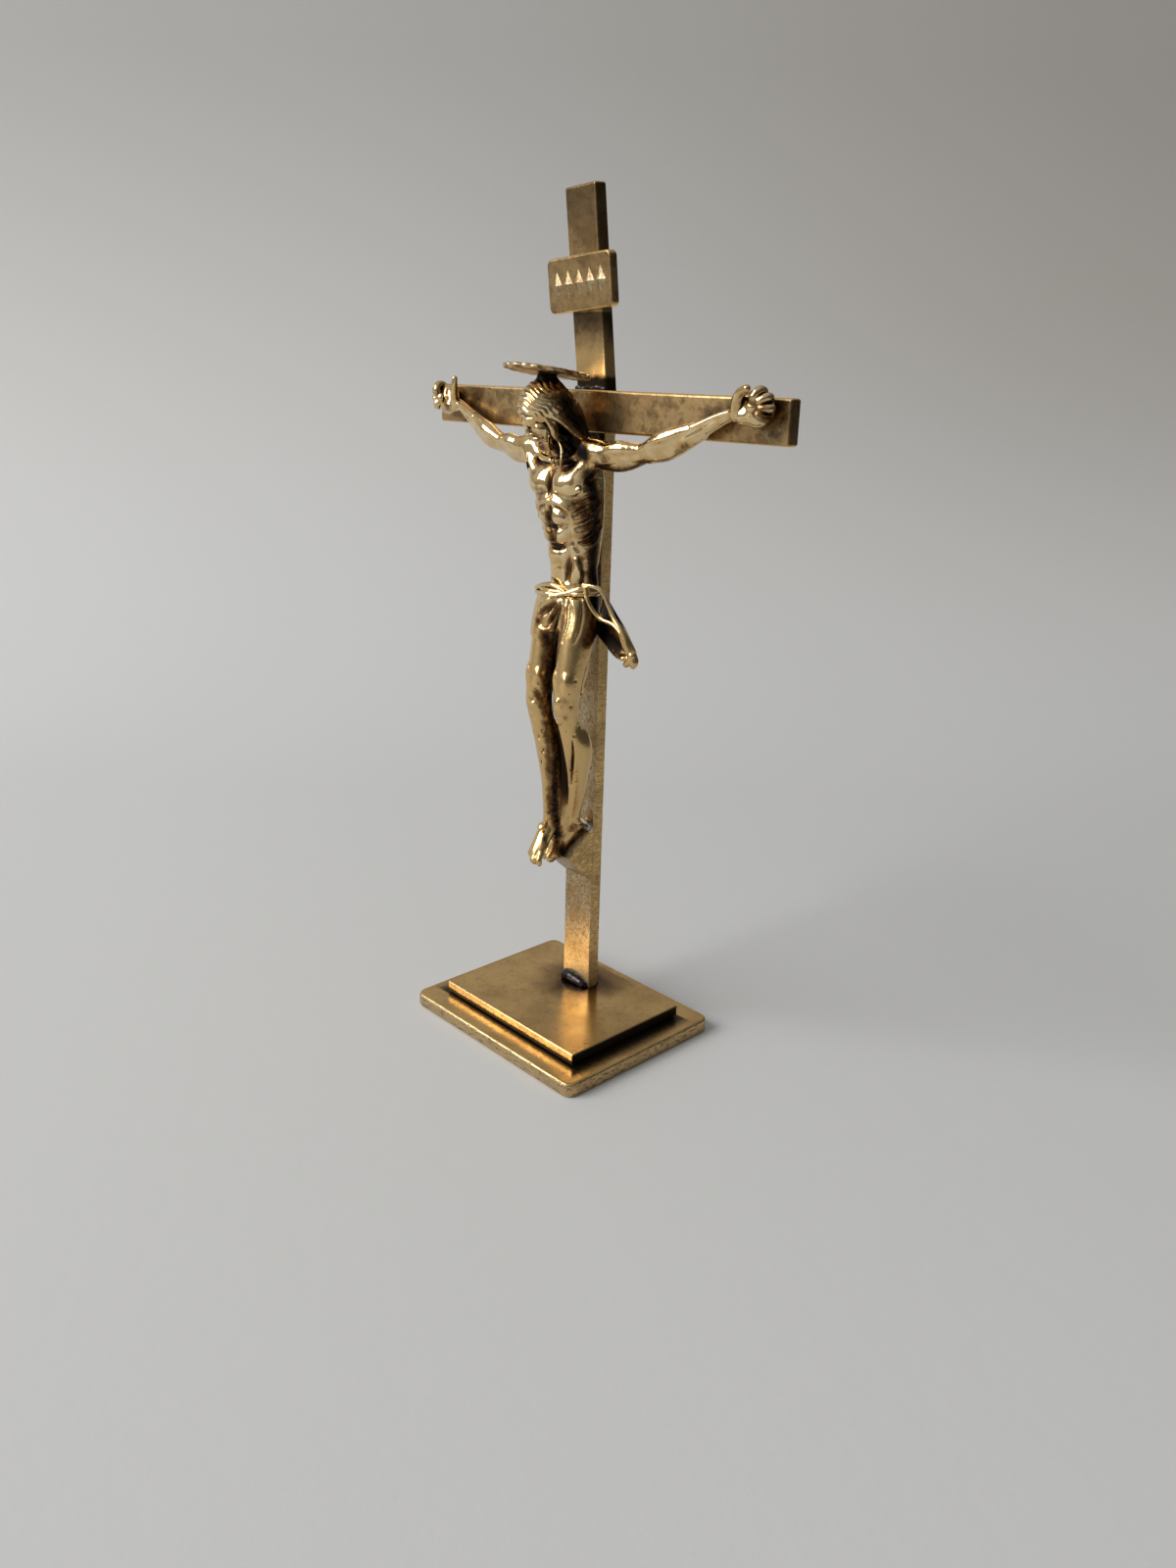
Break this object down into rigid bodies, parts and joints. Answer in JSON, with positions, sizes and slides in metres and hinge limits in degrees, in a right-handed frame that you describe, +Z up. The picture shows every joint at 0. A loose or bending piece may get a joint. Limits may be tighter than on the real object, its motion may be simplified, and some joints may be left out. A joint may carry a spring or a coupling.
{
  "type": "standing crucifix",
  "caption": "Antiqued brass table crucifix: cast corpus with halo nailed to a soldered bar cross with title plate and foot rest, on a stepped plate base.",
  "frame": {"origin": "centre of the lower base plate's underside", "axes": "+Z up along the post, the corpus faces -Y, +X along the crossbar towards the figure's left hand"},
  "size_m": [0.101, 0.0448, 0.1803],
  "materials": {
    "base_brass": "brushed and patinated",
    "bar_brass": "filed and scratched",
    "cross_brass": "mottled patina",
    "corpus_brass": "polished cast, dark recesses",
    "nail_brass": "polished",
    "solder": "dark and glossy"
  },
  "bodies": {
    "root": {"base_lower_plate": "base_brass", "base_plate_seam": "solder", "base_upper_plate": "base_brass", "post": "bar_brass", "post_foot_solder": "solder", "crossbar": "cross_brass", "top_arm": "cross_brass", "crossbar_solder_above": "solder", "crossbar_solder_below": "solder", "title_plate": "cross_brass", "foot_rest": "bar_brass", "corpus_body": "corpus_brass", "corpus_left_arm": "corpus_brass", "corpus_right_arm": "corpus_brass", "halo_disc": "corpus_brass", "halo_stem": "solder", "hand_nails": "nail_brass", "foot_nail": "nail_brass"}
  },
  "joints": []
}
